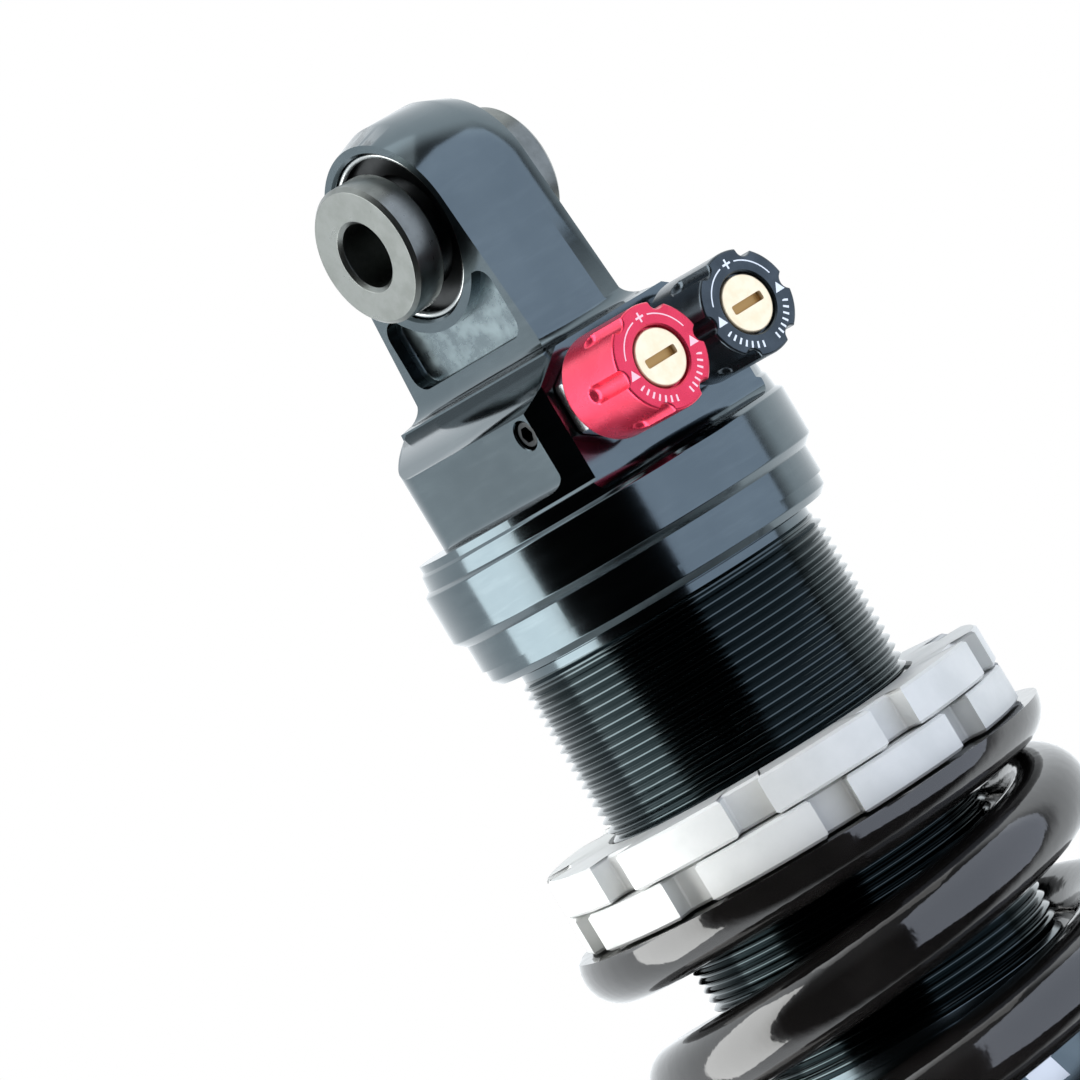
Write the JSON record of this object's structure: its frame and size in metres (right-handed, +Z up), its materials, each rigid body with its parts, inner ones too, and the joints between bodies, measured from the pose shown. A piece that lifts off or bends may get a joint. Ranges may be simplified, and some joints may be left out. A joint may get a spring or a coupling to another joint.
{
  "type": "coilover",
  "caption": "Coil spring over a monotube damper with spherical-bearing eyes, two click-adjuster knobs, threaded body and slotted preload collars.",
  "frame": {"origin": "centre of the upper eye, on its bolt axis", "axes": "+Z up along the damper, from the lower eye to the upper eye; X along both eye bolts; the adjuster knobs point to -Y"},
  "size_m": [0.08, 0.0804, 0.3376],
  "materials": {
    "black_anodised": "satin black hard-anodised, fine bead-blasted",
    "silver_anodised": "satin clear-anodised, turned",
    "red_anodised": "satin red-anodised",
    "slate_anodised": "satin dark grey-anodised",
    "spring_coating": "gloss black powder coat",
    "steel": "machined steel",
    "spacer_steel": "plated steel, lightly worn",
    "bright_steel": "polished steel",
    "chrome": "hard chrome, ground and polished",
    "bearing_steel": "dark, oiled bearing steel",
    "brass": "turned brass",
    "rubber": "matt black rubber",
    "foam": "cellular polyurethane foam",
    "nylon": "moulded nylon"
  },
  "bodies": {
    "damper": {"head": "black_anodised", "set_screw": "steel", "upper_bearing_race": "bearing_steel", "upper_snap_ring_left": "bright_steel", "upper_snap_ring_right": "bright_steel", "rebound_lock_nut": "silver_anodised", "compression_lock_nut": "silver_anodised", "damper_body": "black_anodised", "body_o_ring": "rubber", "coil_spring": "spring_coating", "seal_head": "black_anodised", "seal_head_o_ring": "rubber", "shaft_seal": "rubber", "shaft_wiper": "rubber", "seal_head_ring": "steel"},
    "upper_ball": {"upper_bearing_ball": "bearing_steel"},
    "upper_sleeves": {"upper_spacer_left": "spacer_steel", "upper_spacer_right": "spacer_steel"},
    "rebound_adjuster": {"rebound_knob": "red_anodised", "rebound_screw": "brass", "rebound_needle": "steel"},
    "compression_adjuster": {"compression_knob": "slate_anodised", "compression_screw": "brass", "compression_needle": "steel"},
    "spring_guide": {"spring_guide_ring": "nylon"},
    "preload_nut": {"preload_collar": "silver_anodised"},
    "lock_nut": {"lock_collar": "silver_anodised"},
    "separator": {"floating_piston": "silver_anodised", "floating_piston_o_ring": "rubber"},
    "rod": {"shaft": "chrome", "piston": "silver_anodised", "piston_band": "nylon", "piston_nut": "steel", "compression_shims": "steel", "rebound_shims": "steel", "bump_stop": "foam", "lower_seat": "black_anodised", "seat_clip": "steel", "lower_eye": "black_anodised", "lower_bearing_race": "bearing_steel", "lower_snap_ring_left": "bright_steel", "lower_snap_ring_right": "bright_steel"},
    "lower_ball": {"lower_bearing_ball": "bearing_steel"},
    "lower_sleeves": {"lower_spacer_left": "spacer_steel", "lower_spacer_right": "spacer_steel"}
  },
  "joints": [
    {"name": "damper_stroke", "type": "slide", "parent": "damper", "child": "rod", "axis": [0, 0, 1], "range_m": [0, 0.045], "stiffness_N_per_m": 85000, "springref_m": -0.01, "deforming": ["coil_spring"]},
    {"name": "separator_slide", "type": "slide", "parent": "damper", "child": "separator", "axis": [0, 0, 1], "range_m": [0, 0.0065]},
    {"name": "rebound_turn", "type": "hinge", "parent": "damper", "child": "rebound_adjuster", "pos_m": [-0.009, -0.033, -0.0334], "axis": [0, -1, 0], "range_deg": [-360, 720]},
    {"name": "compression_turn", "type": "hinge", "parent": "damper", "child": "compression_adjuster", "pos_m": [0.009, -0.033, -0.0334], "axis": [0, -1, 0], "range_deg": [-360, 720]},
    {"name": "preload_travel", "type": "slide", "parent": "damper", "child": "spring_guide", "axis": [0, 0, 1], "range_m": [0, 0.0201]},
    {"name": "preload_turn", "type": "hinge", "parent": "spring_guide", "child": "preload_nut", "pos_m": [0, 0, -0.1], "axis": [0, 0, 1], "range_deg": [0, 4800]},
    {"name": "lock_collar_turn", "type": "hinge", "parent": "preload_nut", "child": "lock_nut", "pos_m": [0, 0, -0.094], "axis": [0, 0, 1], "range_deg": [0, 45]},
    {"name": "upper_eye_tilt", "type": "hinge", "parent": "damper", "child": "upper_ball", "pos_m": [0, 0, 0], "axis": [0, 1, 0], "range_deg": [-5, 5]},
    {"name": "upper_eye_swivel", "type": "hinge", "parent": "upper_ball", "child": "upper_sleeves", "pos_m": [0, 0, 0], "axis": [1, 0, 0], "continuous": true},
    {"name": "lower_eye_tilt", "type": "hinge", "parent": "rod", "child": "lower_ball", "pos_m": [0, 0, -0.305], "axis": [0, 1, 0], "range_deg": [-5, 5]},
    {"name": "lower_eye_swivel", "type": "hinge", "parent": "lower_ball", "child": "lower_sleeves", "pos_m": [0, 0, -0.305], "axis": [1, 0, 0], "continuous": true}
  ],
  "couplings": [
    {"joint": "separator_slide", "follows": "damper_stroke", "ratio": 0.13223},
    {"joint": "preload_travel", "follows": "preload_turn", "m_per_rad": 0.00023873}
  ]
}
